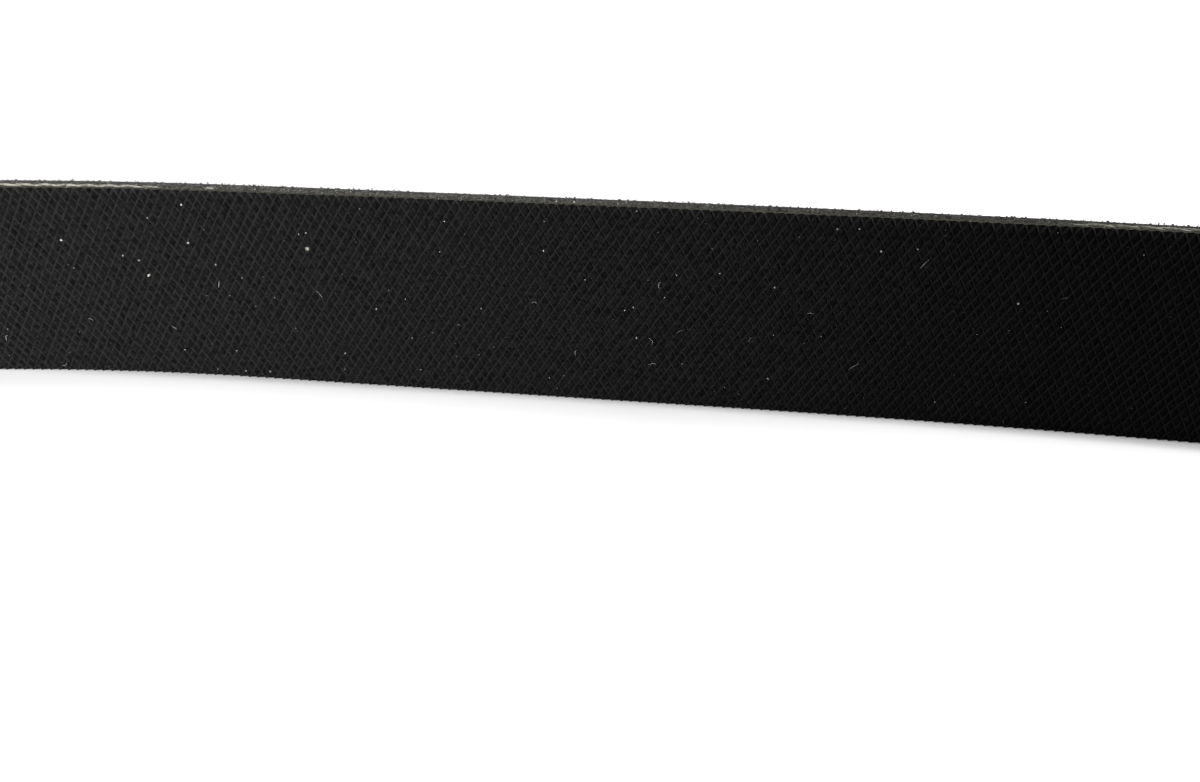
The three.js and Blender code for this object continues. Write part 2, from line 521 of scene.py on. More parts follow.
def make_cut_rubber():
    material, tree, shader, place = new_material("cut_rubber", shine=0.03, roughness=0.85)
    grain = use_group(tree, grain_group, place, grain_size=0.09 * MM)
    along, depth, _ = parts_of(tree, attribute(tree, "belt_map", "Vector"))
    stretched = xyz(tree, maths(tree, "MULTIPLY", along, STREAK_SHRINK), depth, 0.0)
    streaks = add(tree, "ShaderNodeTexNoise", {"Vector": stretched, "Scale": 1 / STREAK_WIDTH, "Detail": 3.0})
    streak = ramp(tree, streaks.outputs["Fac"], 0.35, 0.65)
    sanded = xyz(tree, along, maths(tree, "MULTIPLY", depth, TORN_SHRINK), 0.0)
    torn = use_group(tree, speck_group, sanded, size=TORN_GRAIN, share=TORN_SHARE)
    mixed = maths(tree, "ADD", maths(tree, "MULTIPLY", streak, 0.35),
                  ramp(tree, torn["Tone"], 0.15, 0.85, 0.0, 0.65))
    rubber = blend_colours(tree, mixed, grey(SANDED_DARK), grey(SANDED_LIGHT, 0.03))
    rubber = blend_colours(tree, torn["Mask"], rubber, grey(TORN_TONE, 0.05))
    off_cord = maths(tree, "ABSOLUTE", maths(tree, "SUBTRACT", depth, CORD_DEPTH))
    on_cord = ramp(tree, off_cord, CORD_LINE_OUTER, CORD_LINE_INNER)
    smeared = blend_colours(tree, torn["Tone"], (0.006, 0.006, 0.005, 1), (0.082, 0.079, 0.069, 1))
    smeared = blend_colours(tree, torn["Mask"], smeared, (0.30, 0.29, 0.26, 1))
    colour = blend_colours(tree, on_cord, rubber, smeared)
    # Painted shade on the cut edges along that stretch
    edge_shade = maths(tree, "MULTIPLY", ramp(tree, along, *EDGE_SHADE_SWELLS, 0.0, MOST_EDGE_SHADE),
                  ramp(tree, along, *EDGE_SHADE_FADES, 1.0, 0.0))
    colour = blend_colours(tree, edge_shade, colour, grey(0.0))
    tree.links.new(colour, shader.inputs["Base Color"])
    height = maths(tree, "ADD", grain["Grain"], maths(tree, "MULTIPLY", streak, 0.6))
    bump(tree, shader, height, 0.06 * MM)
    return material


cut_rubber = make_cut_rubber()


# %% Cut back layer and ribs
def make_back_layer():
    material, tree, shader, place = new_material("cut_back_layer", shine=0.1, roughness=0.75)
    grain = use_group(tree, grain_group, place, grain_size=0.25 * MM)
    olive = (0.004, 0.004, 0.003, 1), (0.036, 0.034, 0.023, 1)
    colour = blend_colours(tree, ramp(tree, grain["Grain"], 0.38, 0.62), *olive)
    tree.links.new(colour, shader.inputs["Base Color"])
    bump(tree, shader, grain["Grain"], 0.04 * MM)
    return material


def make_rib_rubber():
    material, tree, shader, place = new_material("rib_rubber", shine=0.25, roughness=0.78)
    grain = use_group(tree, grain_group, place, grain_size=0.14 * MM, mottle_size=9 * MM)
    fibres = use_group(tree, speck_group, place, size=0.35 * MM, share=0.16)
    rubber = blend_colours(tree, grain["Mottle"], grey(0.012), grey(0.022))
    colour = blend_colours(tree, maths(tree, "MULTIPLY", fibres["Mask"], 0.6), rubber, grey(0.10, 0.1))
    tree.links.new(colour, shader.inputs["Base Color"])
    height = maths(tree, "ADD", grain["Grain"], fibres["Mask"])
    bump(tree, shader, height, 0.05 * MM)
    return material


back_layer = make_back_layer()
rib_rubber = make_rib_rubber()

# %% [markdown]
# ### Yarn, torn fibres, dust and lint
# Four small finishes share one recipe. Each goes between a dark and a light tone, and the mottling is about as
# large as one strand, grain or thread, so that no two of them look the same.


# %% Yarn, torn fibres, dust and lint
def make_small_finish(name, dark, light, mottle_size, roughness):
    material, tree, shader, place = new_material(name, shine=0.15, roughness=roughness)
    grain = use_group(tree, grain_group, place, grain_size=0.04 * MM, mottle_size=mottle_size)
    tree.links.new(blend_colours(tree, grain["Mottle"], dark, light), shader.inputs["Base Color"])
    bump(tree, shader, grain["Grain"], 0.02 * MM)
    return material


# Name, dark and light tone, size of the mottling, roughness
SMALL_FINISHES = [
    ("cord_yarn", (0.065, 0.064, 0.053, 1), (0.26, 0.255, 0.215, 1), 0.35 * MM, 0.9),
    ("torn_fibre", (0.026, 0.024, 0.019, 1), (0.11, 0.10, 0.08, 1), 0.5 * MM, 0.8),
    ("dust", (0.13, 0.13, 0.105, 1), (0.42, 0.42, 0.37, 1), 0.9 * MM, 0.9),
    ("lint", (0.16, 0.16, 0.15, 1), (0.40, 0.40, 0.38, 1), 0.7 * MM, 0.7),
]
cord_yarn, torn_fibre, dust_finish, lint_finish = (make_small_finish(*row) for row in SMALL_FINISHES)
print("finishes:", [m.name for m in bpy.data.materials])

# %% [markdown]
# ## The diamond net on the back
# A woven wrap pressed its pattern into the hot rubber: two families of thin raised lines, at about 57 and 60
# degrees to the belt, leave diamond pits between them. Bump alone would leave the edges of the belt straight,
# while the real ones are finely scalloped, so the net is real geometry. One diamond cell is modelled alone,
# and Geometry Nodes set out about fifty thousand of them.

# %% Sizes of the net
NET_ROWS = 27
NET_COLUMNS = 1940
NET_PIECES = 4
CELL_LENGTH = BACK_LENGTH / NET_COLUMNS
ROW_HEIGHT = BELT_WIDTH / NET_ROWS
# How far each row is set along from the one below, in cells: half a cell, and a little more for the slant
ROW_SHIFT = 0.527
PIT_DEPTH = 0.16 * MM
# How much of a cell its floor takes up, measured along the rising and along the falling lines
FLOOR_ALONG_RISING = 0.58
FLOOR_ALONG_FALLING = 0.50
WELD_SHARE = 0.02
print("cell in mm:", round(CELL_LENGTH / MM, 3), "by", round(2 * ROW_HEIGHT / MM, 3))


# %% One diamond cell
def make_cell():
    """A pit between four ridge crossings, with its floor cut in two so that a row can be halved at the edge."""
    lean = (ROW_SHIFT - 0.5) * CELL_LENGTH
    corners = [(-CELL_LENGTH / 2, 0), (-lean, -ROW_HEIGHT), (CELL_LENGTH / 2, 0), (lean, ROW_HEIGHT)]
    points = [(x, 0, z) for x, z in corners]
    (left, _), (_, bottom), (right, _), (_, top) = corners
    rising = Vector((right - corners[1][0], 0, -bottom)) / 2
    falling = Vector((left - corners[1][0], 0, -bottom)) / 2
    for a, b in ((-1, 1), (-1, -1), (1, -1), (1, 1)):
        point = a * FLOOR_ALONG_RISING * rising + b * FLOOR_ALONG_FALLING * falling
        points.append((point.x, PIT_DEPTH, point.z))
    walls = [(0, 1, 5, 4), (1, 2, 6, 5), (2, 3, 7, 6), (3, 0, 4, 7)]
    mesh = bpy.data.meshes.new("net_cell")
    mesh.from_pydata(points, [], [*walls, (4, 5, 6), (4, 6, 7)])
    return into_scene("net_cell", mesh)


net_cell = make_cell()

# %% [markdown]
# The tree sets out the cells as points, drops a cell on each, welds them and cuts off what lies outside the two
# edges. Its open border is then drawn inwards by the thickness of the back layer and folded to the middle line,
# which closes the sheet into a thin shell. Last of all the shell is bent onto the path.

# %% The net tree
def equals(tree, whole, other):
    node = add(tree, "FunctionNodeCompare", data_type="INT", operation="EQUAL")
    tree.links.new(whole, node.inputs[2])
    node.inputs[3].default_value = other
    return node.outputs["Result"]


def make_net_tree():
    tree, given, result = geometry_tree(
        "diamond_net",
        Path="Object", Cell="Object", First_Column="Int", Columns="Int", Rows="Int", Cell_Length="Float",
        Row_Height="Float", Row_Shift="Float", Pit_Depth="Float", Shell="Float", Length="Float",
        Face="Material", Cut="Material",
    )
    lines = maths(tree, "ADD", given["Rows"], 1)
    index = add(tree, "GeometryNodeInputIndex").outputs["Index"]
    column = maths(tree, "FLOOR", maths(tree, "DIVIDE", maths(tree, "ADD", index, 0.5), lines))
    row = maths(tree, "SUBTRACT", index, maths(tree, "MULTIPLY", column, lines))
    slide = maths(tree, "FRACT", maths(tree, "MULTIPLY", row, given["Row_Shift"]))
    cells_along = maths(tree, "ADD", maths(tree, "ADD", column, given["First_Column"]), slide)
    x = maths(tree, "MULTIPLY", maths(tree, "ADD", cells_along, 0.5), given["Cell_Length"])
    z = maths(tree, "MULTIPLY", row, given["Row_Height"])
    count = maths(tree, "MULTIPLY", given["Columns"], lines)
    points = add(tree, "GeometryNodePoints", {"Count": count, "Position": xyz(tree, x, 0.0, z)}).outputs[0]
    cell = add(tree, "GeometryNodeObjectInfo", {"Object": given["Cell"]}).outputs["Geometry"]
    placed = add(tree, "GeometryNodeInstanceOnPoints", {"Points": points, "Instance": cell}).outputs[0]
    loose = add(tree, "GeometryNodeRealizeInstances", {"Geometry": placed}).outputs[0]
    weld = maths(tree, "MULTIPLY", given["Cell_Length"], WELD_SHARE)
    net = add(tree, "GeometryNodeMergeByDistance", {"Geometry": loose, "Distance": weld}).outputs[0]
    _, _, height = parts_of(tree, add(tree, "GeometryNodeInputPosition").outputs["Position"])
    width = maths(tree, "MULTIPLY", given["Rows"], given["Row_Height"])
    outside = maths(tree, "ADD", maths(tree, "LESS_THAN", height, 0.0),
                    maths(tree, "GREATER_THAN", height, width))
    net = add(tree, "GeometryNodeDeleteGeometry", {"Geometry": net, "Selection": outside},
              domain="FACE").outputs[0]
    _, depth, _ = parts_of(tree, add(tree, "GeometryNodeInputPosition").outputs["Position"])
    net = add(tree, "GeometryNodeStoreNamedAttribute",
              {"Geometry": net, "Name": "pit", "Value": maths(tree, "DIVIDE", depth, given["Pit_Depth"])},
              data_type="FLOAT", domain="POINT").outputs[0]
    flat_normal = add(tree, "GeometryNodeInputNormal").outputs["Normal"]
    net = add(tree, "GeometryNodeStoreNamedAttribute",
              {"Geometry": net, "Name": "flat_normal", "Value": flat_normal},
              data_type="FLOAT_VECTOR", domain="FACE").outputs[0]
    net = add(tree, "GeometryNodeSetMaterial", {"Geometry": net, "Material": given["Face"]}).outputs[0]
    net = add(tree, "GeometryNodeSetShadeSmooth", {"Geometry": net, "Shade Smooth": True}).outputs[0]
    faces_met = add(tree, "GeometryNodeInputMeshEdgeNeighbors").outputs["Face Count"]
    border = equals(tree, faces_met, 1)
    rim = add(tree, "GeometryNodeExtrudeMesh",
              {"Mesh": net, "Selection": border, "Offset": xyz(tree, y=1.0), "Offset Scale": given["Shell"]},
              mode="EDGES")
    x, _, z = parts_of(tree, add(tree, "GeometryNodeInputPosition").outputs["Position"])
    level = add(tree, "GeometryNodeSetPosition",
                {"Geometry": rim.outputs["Mesh"], "Selection": rim.outputs["Top"],
                 "Position": xyz(tree, x, given["Shell"], z)}).outputs[0]
    level = add(tree, "GeometryNodeSetMaterial",
                {"Geometry": level, "Selection": rim.outputs["Side"], "Material": given["Cut"]}).outputs[0]
    level = add(tree, "GeometryNodeSetShadeSmooth",
                {"Geometry": level, "Selection": rim.outputs["Side"], "Shade Smooth": False}).outputs[0]
    fold = add(tree, "GeometryNodeExtrudeMesh",
               {"Mesh": level, "Selection": rim.outputs["Top"], "Offset Scale": 0.0}, mode="EDGES")
    nearest = maths(tree, "ROUND", maths(tree, "DIVIDE", x, given["Cell_Length"]))
    first = maths(tree, "ADD", given["First_Column"], 2)
    last = maths(tree, "SUBTRACT", maths(tree, "ADD", given["First_Column"], given["Columns"]), 1)
    near = maths(tree, "MINIMUM", maths(tree, "MAXIMUM", nearest, first), last)
    middle = xyz(tree, maths(tree, "MULTIPLY", near, given["Cell_Length"]), given["Shell"],
                 maths(tree, "MULTIPLY", width, 0.5))
    folded = add(tree, "GeometryNodeSetPosition",
                 {"Geometry": fold.outputs["Mesh"], "Selection": fold.outputs["Top"],
                  "Position": middle}).outputs[0]
    closed = add(tree, "GeometryNodeMergeByDistance", {"Geometry": folded, "Distance": weld}).outputs[0]
    bent = bend_in(tree, closed, given["Path"], given["Length"])
    tree.links.new(bent, result["Geometry"])
    return tree


# %% Make the back in four stretches
net_tree = make_net_tree()
columns_each = NET_COLUMNS // NET_PIECES
back_pieces = [
    grow(
        f"textured_back_{number + 1}", net_tree,
        Path=belt_path, Cell=net_cell, First_Column=number * columns_each, Columns=columns_each, Rows=NET_ROWS,
        Cell_Length=CELL_LENGTH, Row_Height=ROW_HEIGHT, Row_Shift=ROW_SHIFT, Pit_Depth=PIT_DEPTH,
        Shell=BACK_LAYER, Length=BACK_LENGTH, Face=back_rubber, Cut=back_layer,
    )
    for number in range(NET_PIECES)
]
bpy.data.objects.remove(net_cell)

# %% [markdown]
# ## The ribbed body
# Under the back layer lies one body: the web with the cords and the six ribs. Its section is drawn once with
# round roots and tips, finer than in the plain solid, and Geometry Nodes sweep it: a grid is laid flat, each of
# its columns takes the place of one section point, and the flat strip is bent onto the path like the net.

# %% Draw the section
ROOT_STEPS = 6
TIP_STEPS = 4
BODY_STATIONS = 480
WELD = 0.01 * MM


def section_arc(depth, height, radius, start, end, steps):
    angles = [start + (end - start) * i / steps for i in range(steps + 1)]
    return [(depth + radius * math.cos(a), height + radius * math.sin(a)) for a in angles]


def rib_tip(height):
    flank = RIB_ANGLE / 2
    corner = math.pi / 2 - flank
    flank_depth = RIB_DEPTH - ROOT_RADIUS * (1 - math.sin(flank))
    half_groove = ROOT_RADIUS * math.cos(flank) + flank_depth * math.tan(flank)
    half_flat = RIB_PITCH / 2 - half_groove - TIP_RADIUS * math.tan(corner / 2)
    depth = BELT_THICKNESS - TIP_RADIUS
    lower = section_arc(depth, height - half_flat, TIP_RADIUS, -corner, 0, TIP_STEPS)
    return lower + section_arc(depth, height + half_flat, TIP_RADIUS, 0, corner, TIP_STEPS)


def body_section():
    start, end = math.pi * 1.5 - RIB_ANGLE / 2, math.pi / 2 + RIB_ANGLE / 2
    root = WEB_THICKNESS + ROOT_RADIUS
    points = [(BACK_LAYER, 0), *section_arc(root, 0, ROOT_RADIUS, math.pi, end, ROOT_STEPS // 2)]
    for rib in range(RIB_COUNT):
        if rib:
            points += section_arc(root, rib * RIB_PITCH, ROOT_RADIUS, start, end, ROOT_STEPS)
        points += rib_tip((rib + 0.5) * RIB_PITCH)
    points += section_arc(root, BELT_WIDTH, ROOT_RADIUS, start, math.pi, ROOT_STEPS // 2)
    return [*points, (BACK_LAYER, BELT_WIDTH)]


def section_object():
    outline = body_section()
    mesh = bpy.data.meshes.new("body_section")
    mesh.from_pydata([(0, depth, height) for depth, height in outline], [], [])
    return into_scene("body_section", mesh)


body_outline = section_object()
print("section points:", len(body_outline.data.vertices))


# %% The sweep tree
def value_socket(sockets):
    """Sample Index has a Value socket for each type of data, and one of them is in use."""
    return next(socket for socket in sockets if socket.name == "Value" and socket.enabled)


def make_sweep_tree():
    tree, given, result = geometry_tree(
        "swept_body",
        Path="Object", Section="Object", Points="Int", Stations="Int", Length="Float", Width="Float",
        Ribs="Material", Cut="Material",
    )
    rows = maths(tree, "ADD", given["Points"], 1)
    columns = maths(tree, "ADD", given["Stations"], 1)
    grid = add(tree, "GeometryNodeMeshGrid",
               {"Size X": 1.0, "Size Y": 1.0, "Vertices X": columns, "Vertices Y": rows}).outputs["Mesh"]
    u, v, _ = parts_of(tree, add(tree, "GeometryNodeInputPosition").outputs["Position"])
    x = maths(tree, "MULTIPLY", maths(tree, "ADD", u, 0.5), given["Length"])
    step = maths(tree, "ROUND", maths(tree, "MULTIPLY", maths(tree, "ADD", v, 0.5), given["Points"]))
    point = maths(tree, "FLOORED_MODULO", step, given["Points"])
    outline = add(tree, "GeometryNodeObjectInfo", {"Object": given["Section"]}).outputs["Geometry"]
    sample = add(tree, "GeometryNodeSampleIndex", {"Geometry": outline, "Index": point},
                 data_type="FLOAT_VECTOR")
    outline_place = add(tree, "GeometryNodeInputPosition").outputs["Position"]
    tree.links.new(outline_place, value_socket(sample.inputs))
    _, depth, height = parts_of(tree, value_socket(sample.outputs))
    flat = add(tree, "GeometryNodeSetPosition",
               {"Geometry": grid, "Position": xyz(tree, x, depth, height)}).outputs[0]
    place = add(tree, "GeometryNodeInputPosition").outputs["Position"]
    flat = add(tree, "GeometryNodeStoreNamedAttribute",
               {"Geometry": flat, "Name": "belt_map", "Value": place},
               data_type="FLOAT_VECTOR", domain="CORNER").outputs[0]
    _, _, middle = parts_of(tree, place)
    inside = maths(tree, "MULTIPLY", maths(tree, "GREATER_THAN", middle, WELD),
                   maths(tree, "LESS_THAN", middle, maths(tree, "SUBTRACT", given["Width"], WELD)))
    flat = add(tree, "GeometryNodeSetMaterial", {"Geometry": flat, "Material": given["Cut"]}).outputs[0]
    flat = add(tree, "GeometryNodeSetMaterial",
               {"Geometry": flat, "Selection": inside, "Material": given["Ribs"]}).outputs[0]
    bent = bend_in(tree, flat, given["Path"], given["Length"])
    welded = add(tree, "GeometryNodeMergeByDistance", {"Geometry": bent, "Distance": WELD}).outputs[0]
    tree.links.new(welded, result["Geometry"])
    return tree


# %% Make the ribbed body
ribbed_body = grow(
    "ribbed_body", make_sweep_tree(),
    Path=belt_path, Section=body_outline, Points=len(body_outline.data.vertices), Stations=BODY_STATIONS,
    Length=BACK_LENGTH, Width=BELT_WIDTH, Ribs=rib_rubber, Cut=cut_rubber,
)
bpy.data.objects.remove(body_outline)

# %% [markdown]
# ## The cord in the cut edge
# The knife that cut the belt to width ran along a tension cord. Where it came close the cord lies bare, and where
# it kept off the cord stays hidden. A cord is three strands twisted together. Each bare stretch is a straight line
# in the flat belt. The tree makes three copies of it, winds them around it, gives them a round section and dips
# both ends back into the rubber.

# %% Where the cord lies bare
CORD_STRANDS = 3
STRAND_RADIUS = 0.165 * MM
TWIST_RADIUS = 0.18 * MM
CORD_LAY = 6.3 * MM
CORD_INSET = 0.17 * MM
CORD_STEP = 0.45 * MM
STRAND_SIDES = 6
END_DIP = 0.7 * MM
DIP_POWER = 14.0
# Start and length in mm along the belt. The seen stretch starts at -22 and ends at 92.
BARE_TOP = [
    (-58, 55), (-1.9, 1.6), (33.0, 1.0), (34.7, 1.1), (79.5, 34), (190, 46), (322, 28), (455, 60),
    (640, 35), (804, 44), (1010, 26), (1188, 52), (1350, 30), (1515, 42), (1702, 36),
]
BARE_BOTTOM = [
    (-90, 30), (60, 44), (260, 30), (520, 38), (760, 26), (980, 40), (1240, 30), (1490, 44), (1650, 24),
]


def bare_lines():
    rows = [(BARE_TOP, BELT_WIDTH - CORD_INSET), (BARE_BOTTOM, CORD_INSET)]
    ends = [
        (x * MM, CORD_DEPTH, height)
        for places, height in rows for start, length in places for x in (start, start + length)
    ]
    mesh = bpy.data.meshes.new("bare_lines")
    mesh.from_pydata(ends, [(i, i + 1) for i in range(0, len(ends), 2)], [])
    return into_scene("bare_lines", mesh)


cord_lines = bare_lines()
print("bare cord in mm:", sum(length for _, length in BARE_TOP + BARE_BOTTOM))


# %% The cord tree
def make_cord_tree():
    tree, given, result = geometry_tree(
        "twisted_cord",
        Path="Object", Lines="Object", Strands="Int", Strand_Radius="Float", Twist_Radius="Float", Lay="Float",
        End_Dip="Float", Step="Float", Middle="Float", Length="Float", Yarn="Material",
    )
    lines = add(tree, "GeometryNodeObjectInfo", {"Object": given["Lines"]}).outputs["Geometry"]
    lines = add(tree, "GeometryNodeMeshToCurve", {"Mesh": lines}).outputs[0]
    lines = add(tree, "GeometryNodeResampleCurve", {"Curve": lines, "Length": given["Step"]},
                mode="LENGTH").outputs[0]
    copies = add(tree, "GeometryNodeDuplicateElements", {"Geometry": lines, "Amount": given["Strands"]},
                 domain="SPLINE")
    x, depth, height = parts_of(tree, add(tree, "GeometryNodeInputPosition").outputs["Position"])
    share = maths(tree, "DIVIDE", copies.outputs["Duplicate Index"], given["Strands"])
    turns = maths(tree, "ADD", maths(tree, "DIVIDE", x, given["Lay"]), share)
    angle = maths(tree, "MULTIPLY", turns, 2 * math.pi)
    to_middle = maths(tree, "SIGN", maths(tree, "SUBTRACT", given["Middle"], height))
    factor = add(tree, "GeometryNodeSplineParameter").outputs["Factor"]
    from_centre = maths(tree, "ABSOLUTE", maths(tree, "SUBTRACT", maths(tree, "MULTIPLY", factor, 2.0), 1.0))
    dip = maths(tree, "MULTIPLY", maths(tree, "POWER", from_centre, DIP_POWER), given["End_Dip"])
    sway = maths(tree, "MULTIPLY", maths(tree, "COSINE", angle), given["Twist_Radius"])
    depth = maths(tree, "ADD", depth, sway)
    swing = maths(tree, "MULTIPLY", maths(tree, "SINE", angle), given["Twist_Radius"])
    height = maths(tree, "ADD", maths(tree, "ADD", height, swing), maths(tree, "MULTIPLY", dip, to_middle))
    wound = add(tree, "GeometryNodeSetPosition",
                {"Geometry": copies.outputs["Geometry"], "Position": xyz(tree, x, depth, height)}).outputs[0]
    ring = add(tree, "GeometryNodeCurvePrimitiveCircle",
               {"Resolution": STRAND_SIDES, "Radius": given["Strand_Radius"]}).outputs[0]
    cord = add(tree, "GeometryNodeCurveToMesh",
               {"Curve": wound, "Profile Curve": ring, "Fill Caps": True}).outputs[0]
    cord = add(tree, "GeometryNodeSetMaterial", {"Geometry": cord, "Material": given["Yarn"]}).outputs[0]
    tree.links.new(bend_in(tree, cord, given["Path"], given["Length"]), result["Geometry"])
    return tree


edge_cord = grow(
    "edge_cord", make_cord_tree(),
    Path=belt_path, Lines=cord_lines, Strands=CORD_STRANDS, Strand_Radius=STRAND_RADIUS,
    Twist_Radius=TWIST_RADIUS, Lay=CORD_LAY, End_Dip=END_DIP, Step=CORD_STEP, Middle=BELT_WIDTH / 2,
    Length=BACK_LENGTH, Yarn=cord_yarn,
)
bpy.data.objects.remove(cord_lines)

# %% [markdown]
# ## Shapes for tufts, grains and threads
# Torn fibres, dust and lint are small shapes repeated many times, so each has only a few faces. A thread is a
# tube along a few points. Three variants of each are made with a fixed seed, one unit long, in a collection
# that the scattering tree can pick from.

# %% Small shapes
import random

TUBE_SIDES = 3
KINDS_EACH = 3


def tube(points, radius):
    """A closed tube through points, thinner at its ends."""
    sides = TUBE_SIDES
    verts, faces = [], []
    last = len(points) - 1
    for i, point in enumerate(points):
        ahead = (Vector(points[min(i + 1, last)]) - Vector(points[max(i - 1, 0)])).normalized()
        across = ahead.orthogonal().normalized()
        beyond = ahead.cross(across)
        here = radius * (0.5 if i in (0, last) else 1.0)
        for k in range(sides):
            turn = 2 * math.pi * k / sides
            verts.append(Vector(point) + here * (math.cos(turn) * across + math.sin(turn) * beyond))
    for i in range(last):
        for k in range(sides):
            after = (k + 1) % sides
            faces.append((i * sides + k, i * sides + after, (i + 1) * sides + after, (i + 1) * sides + k))
    return verts, [*faces, tuple(reversed(range(sides))), tuple(range(last * sides, (last + 1) * sides))]


def grain_shape(dice):
    mesh = bmesh.new()
    bmesh.ops.create_icosphere(mesh, subdivisions=1, radius=0.5)
    verts = [vertex.co * dice.uniform(0.65, 1.15) for vertex in mesh.verts]
    faces = [tuple(vertex.index for vertex in face.verts) for face in mesh.faces]
    mesh.free()
    return verts, faces


def thread_shape(dice, points=6, radius=0.03):
    """A curved thread that lies in the x-z plane."""
    bow, wave = dice.uniform(-0.3, 0.3), dice.uniform(-0.08, 0.08)
    line = []
    for i in range(points):
        t = i / (points - 1)
        line.append((t - 0.5, 0, bow * math.sin(math.pi * t) + wave * math.sin(2 * math.pi * t)))
    return tube(line, radius)


def tuft_shape(dice, fibres=2, radius=0.16):
    """A few bent fibres that stand up from one root."""
    verts, faces = [], []
    for _ in range(fibres):
        side, back = dice.uniform(-0.7, 0.7), dice.uniform(-0.3, 0.5)
        tall = dice.uniform(0.55, 1.0)
        line = [(side * t * t, back * t, tall * t - 0.15) for t in (0.0, 0.5, 1.0)]
        more_verts, more_faces = tube(line, radius)
        faces += [tuple(len(verts) + i for i in face) for face in more_faces]
        verts += more_verts
    return verts, faces


def variants(name, shape):
    dice = random.Random(name)
    collection = bpy.data.collections.new(name)
    bpy.context.scene.collection.children.link(collection)
    for i in range(KINDS_EACH):
        mesh = bpy.data.meshes.new(f"{name}_{i + 1}")
        verts, faces = shape(dice)
        mesh.from_pydata(verts, [], faces)
        collection.objects.link(bpy.data.objects.new(mesh.name, mesh))
    return collection


grain_kinds = variants("grain", grain_shape)
thread_kinds = variants("thread", thread_shape)
tuft_kinds = variants("tuft", tuft_shape)

# %% [markdown]
# ## Scattering
# One tree does all the scattering. The distance along the belt is cut into as many equal parts as there are
# things, with one thing somewhere in each part, which avoids bare patches. Sizes are skewed: many are small and
# few are large. Fibres and crumbs stand along the edge between the cut and the ribs, and dust and lint lie on the
# back and on the cut edges.


# %% The scattering tree
def random_value(tree, kind, low, high, seed):
    node = add(tree, "FunctionNodeRandomValue", data_type=kind)
    first = 0 if kind == "FLOAT_VECTOR" else 2
    for place, value in ((first, low), (first + 1, high), (8, seed)):
        if isinstance(value, bpy.types.NodeSocket):
            tree.links.new(value, node.inputs[place])
        else:
            node.inputs[place].default_value = value
    return node.outputs[0 if kind == "FLOAT_VECTOR" else 1]


def make_scatter_tree():
    tree, given, result = geometry_tree(
        "scatter",
        Path="Object", Shapes="Collection", Count="Int", Seed="Int", Length="Float", Place_Low="Vector",
        Place_High="Vector", Spin_Low="Vector", Spin_High="Vector", Size_Low="Float", Size_High="Float",
        Skew="Float", Finish="Material",
    )
    seeds = [maths(tree, "ADD", given["Seed"], number) for number in range(4)]
    index = add(tree, "GeometryNodeInputIndex").outputs["Index"]
    part = maths(tree, "DIVIDE", given["Length"], given["Count"])
    x = maths(tree, "MULTIPLY", maths(tree, "ADD", index, random_value(tree, "FLOAT", 0.0, 1.0, seeds[0])), part)
    _, depth, height = parts_of(
        tree, random_value(tree, "FLOAT_VECTOR", given["Place_Low"], given["Place_High"], seeds[1]))
    points = add(tree, "GeometryNodePoints", {"Count": given["Count"], "Position": xyz(tree, x, depth, height)})
    shapes = add(tree, "GeometryNodeCollectionInfo",
                 {"Collection": given["Shapes"], "Separate Children": True, "Reset Children": True}).outputs[0]
    spin = random_value(tree, "FLOAT_VECTOR", given["Spin_Low"], given["Spin_High"], seeds[2])
    chance = maths(tree, "POWER", random_value(tree, "FLOAT", 0.0, 1.0, seeds[3]), given["Skew"])
    size = ramp(tree, chance, 0.0, 1.0, given["Size_Low"], given["Size_High"])
    placed = add(tree, "GeometryNodeInstanceOnPoints",
                 {"Points": points.outputs[0], "Instance": shapes, "Pick Instance": True,
                  "Rotation": spin, "Scale": xyz(tree, size, size, size)}).outputs[0]
    loose = add(tree, "GeometryNodeRealizeInstances", {"Geometry": placed}).outputs[0]
    loose = add(tree, "GeometryNodeSetMaterial", {"Geometry": loose, "Material": given["Finish"]}).outputs[0]
    tree.links.new(bend_in(tree, loose, given["Path"], given["Length"]), result["Geometry"])
    return tree


scatter_tree = make_scatter_tree()


def scatter(name, shapes, count, seed, place, spin, size, skew, finish):
    return grow(
        name, scatter_tree,
        Path=belt_path, Shapes=shapes, Count=count, Seed=seed, Length=BACK_LENGTH,
        Place_Low=(0, *(v * MM for v in place[0])), Place_High=(0, *(v * MM for v in place[1])),
        Spin_Low=spin[0], Spin_High=spin[1], Size_Low=size[0] * MM, Size_High=size[1] * MM, Skew=skew,
        Finish=finish,
    )


# %% Fibres, dust and lint
# Places are pairs of lowest and highest depth and height in mm. Turns are pairs of least and greatest angles.
top = BELT_WIDTH / MM
back = (-0.01, 0.3), (0.03, top - 0.3)
torn_edge = (1.95, top - 0.03), (2.2, top)
top_edge = (0.2, top), (2.0, top + 0.01)
bottom_edge = (0.2, -0.01), (2.0, 0.01)
any_way = (0, 0, 0), (2 * math.pi, 2 * math.pi, 2 * math.pi)
flat_turn = (0, -math.pi, 0), (0, math.pi, 0)
lying = (math.pi / 2, 0, 0), (math.pi / 2, 0, math.pi)
standing = (-0.5, -0.4, -0.4), (0.3, 0.4, 0.4)
